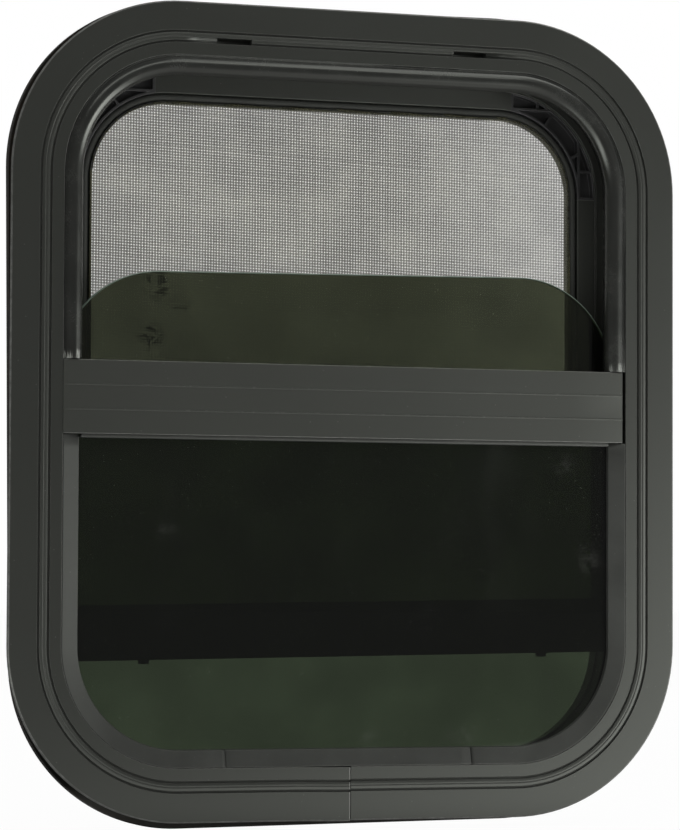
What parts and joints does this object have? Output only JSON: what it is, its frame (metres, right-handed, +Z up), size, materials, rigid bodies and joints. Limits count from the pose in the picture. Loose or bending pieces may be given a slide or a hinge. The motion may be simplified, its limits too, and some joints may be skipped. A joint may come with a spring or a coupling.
{
  "type": "caravan window with drop sash",
  "caption": "Black radius-corner caravan window: fixed tinted lower pane, tinted vertical sash dropped half way, insect screen behind, inside clamp ring.",
  "frame": {"origin": "On the flange's back face, at the middle of its bottom run, where the flange lies on the outside of the wall", "axes": "+Z up as pictured, +Y into the caravan, -Y out of doors, +X to the right seen from outside"},
  "size_m": [0.354, 0.0374, 0.4176],
  "materials": {
    "outer_frame": "satin black powder coat",
    "frame_joint_plate": "mill finish",
    "cross_rail": "satin black powder coat",
    "rail_pile_strip": "woven pile",
    "upper_gasket": "smooth, lightly polished",
    "glazing_strip_left": "satin",
    "glazing_strip_right": "satin",
    "glazing_strip_bottom": "satin",
    "glazing_tape": "closed-cell foam",
    "fixed_glass": "dark green tint, polished",
    "sash_glass": "dark green tint, polished",
    "sash_rail": "satin black powder coat",
    "sash_bumpers": "matt",
    "sash_latches": "fine spark texture",
    "run_channel_left": "flocked lining",
    "run_channel_right": "flocked lining",
    "screen_top_bar": "satin black powder coat",
    "screen_left_bar": "satin black powder coat",
    "screen_right_bar": "satin black powder coat",
    "screen_bottom_bar": "satin black powder coat",
    "screen_corner_top_left": "moulded, fine texture",
    "screen_corner_top_right": "moulded, fine texture",
    "screen_corner_bottom_left": "moulded, fine texture",
    "screen_corner_bottom_right": "moulded, fine texture",
    "screen_spline": "knurled vinyl cord",
    "screen_mesh": "woven coated glass fibre",
    "clamp_ring": "satin black powder coat",
    "clamp_screws": "blackened steel"
  },
  "bodies": {
    "root": {"outer_frame": "outer_frame", "frame_joint_plate": "frame_joint_plate", "cross_rail": "cross_rail", "rail_pile_strip": "rail_pile_strip", "upper_gasket": "upper_gasket", "glazing_strip_left": "glazing_strip_left", "glazing_strip_right": "glazing_strip_right", "glazing_strip_bottom": "glazing_strip_bottom", "glazing_tape": "glazing_tape", "fixed_glass": "fixed_glass", "sash_glass": "sash_glass", "sash_rail": "sash_rail", "sash_bumpers": "sash_bumpers", "sash_latches": "sash_latches", "run_channel_left": "run_channel_left", "run_channel_right": "run_channel_right", "screen_top_bar": "screen_top_bar", "screen_left_bar": "screen_left_bar", "screen_right_bar": "screen_right_bar", "screen_bottom_bar": "screen_bottom_bar", "screen_corner_top_left": "screen_corner_top_left", "screen_corner_top_right": "screen_corner_top_right", "screen_corner_bottom_left": "screen_corner_bottom_left", "screen_corner_bottom_right": "screen_corner_bottom_right", "screen_spline": "screen_spline", "screen_mesh": "screen_mesh", "clamp_ring": "clamp_ring", "clamp_screws": "clamp_screws"}
  },
  "joints": []
}
